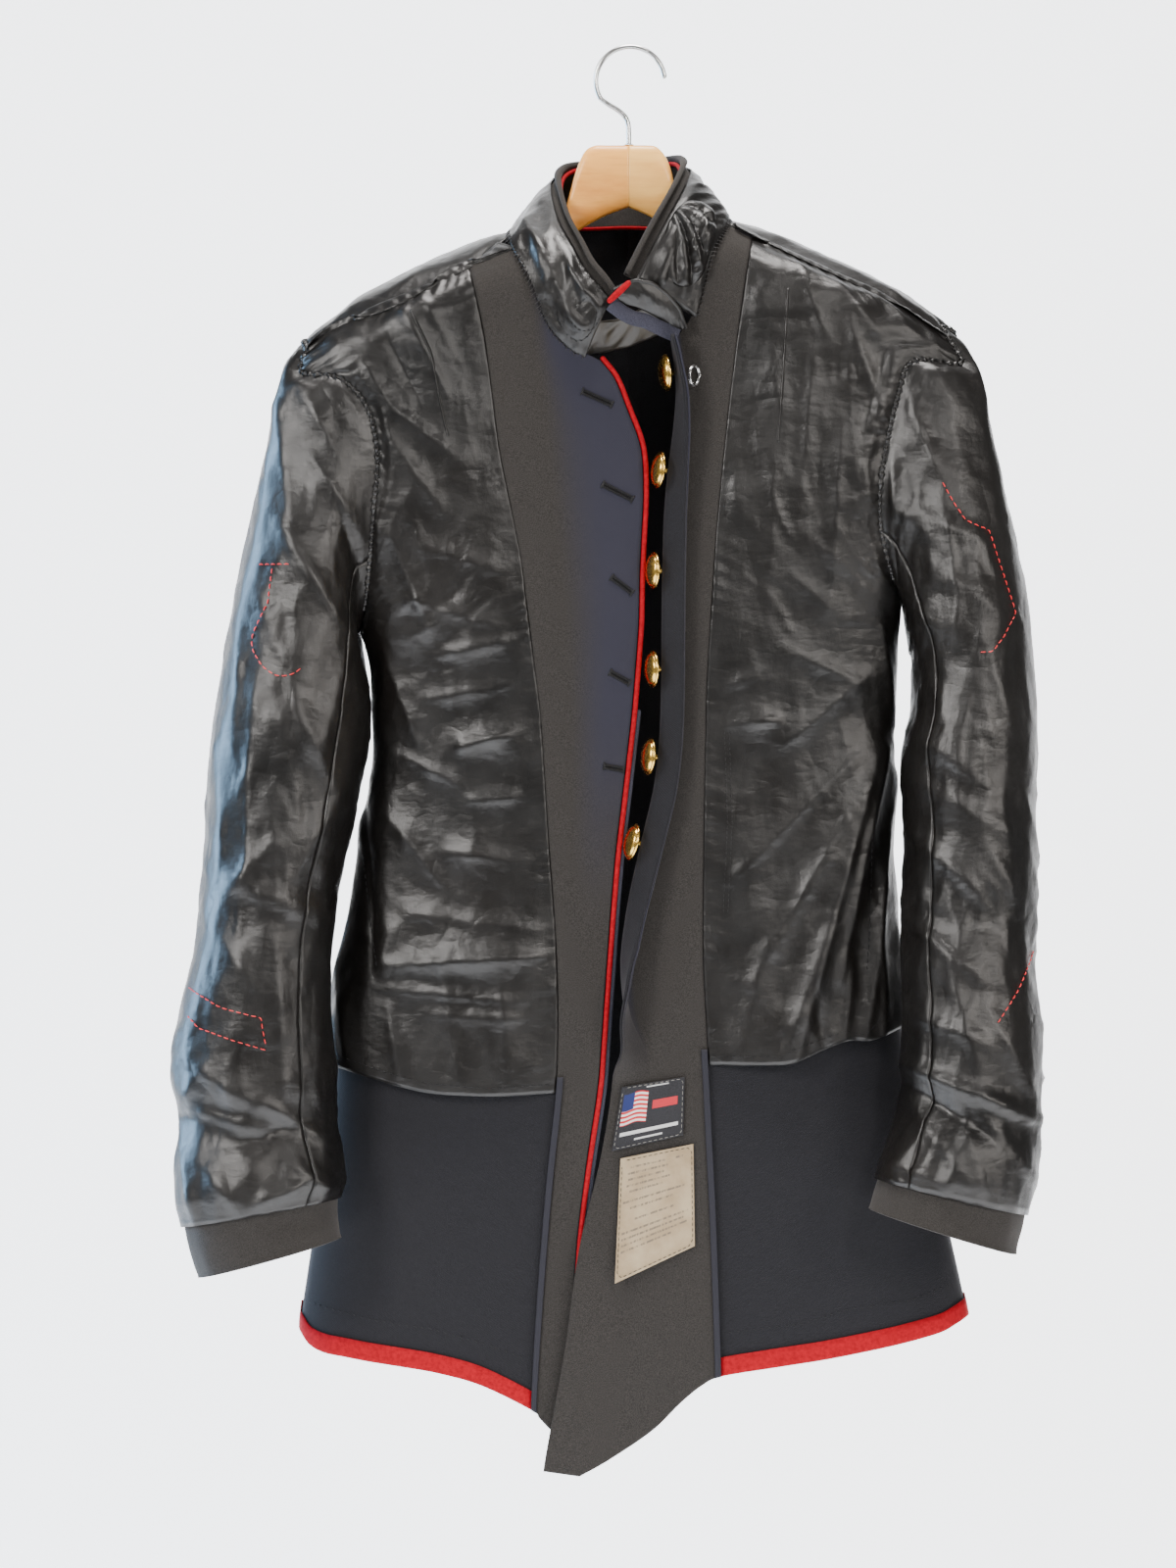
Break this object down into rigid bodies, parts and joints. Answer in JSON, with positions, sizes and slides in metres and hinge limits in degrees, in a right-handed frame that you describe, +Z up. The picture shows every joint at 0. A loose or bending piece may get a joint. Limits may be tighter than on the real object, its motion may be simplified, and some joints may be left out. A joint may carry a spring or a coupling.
{
  "type": "military uniform coat on a hanger",
  "caption": "Dark dress coat with a standing collar, turned inside out, with satin lining, scarlet piping and domed buttons, hanging open on a wooden hanger.",
  "frame": {"origin": "inside top of the hanger's hook, where a rail carries it", "axes": "+Z up, the open front of the coat faces -Y, +X to the viewer's right"},
  "size_m": [0.5954, 0.1983, 0.989],
  "materials": {
    "navy_wool": "matte wool",
    "facing_wool": "matte wool",
    "lining_satin": "satin sheen",
    "scarlet_cloth": "matte wool",
    "seam_tape": "woven tape",
    "woven_label": "woven",
    "care_label": "printed satin tape",
    "gilt_metal": "polished",
    "bright_steel": "bright",
    "hanger_wood": "clear varnish"
  },
  "bodies": {
    "root": {"front_shell_left": "navy_wool", "front_shell_right": "navy_wool", "back_shell_left": "navy_wool", "back_shell_right": "navy_wool", "front_facing_left": "facing_wool", "front_facing_right": "facing_wool", "front_lining_left": "lining_satin", "front_lining_right": "lining_satin", "back_lining_left": "lining_satin", "back_lining_right": "lining_satin", "sleeve_top_left": "lining_satin", "sleeve_top_right": "lining_satin", "sleeve_under_left": "lining_satin", "sleeve_under_right": "lining_satin", "cuff_left": "facing_wool", "cuff_right": "facing_wool", "collar_stand": "facing_wool", "collar_lining": "lining_satin", "collar_piping": "scarlet_cloth", "collar_end_flap": "lining_satin", "collar_bunched_end": "lining_satin", "collar_under_tab": "lining_satin", "front_piping": "scarlet_cloth", "hem_tape_front_left": "scarlet_cloth", "hem_tape_front_right": "scarlet_cloth", "hem_tape_back_left": "scarlet_cloth", "hem_tape_back_right": "scarlet_cloth", "seam_tape_left": "seam_tape", "seam_tape_right": "seam_tape", "woven_label": "woven_label", "care_label": "care_label", "button_1": "gilt_metal", "button_2": "gilt_metal", "button_3": "gilt_metal", "button_4": "gilt_metal", "button_5": "gilt_metal", "button_6": "gilt_metal", "split_ring": "bright_steel", "hanger_left": "hanger_wood", "hanger_right": "hanger_wood", "hook": "bright_steel"}
  },
  "joints": []
}
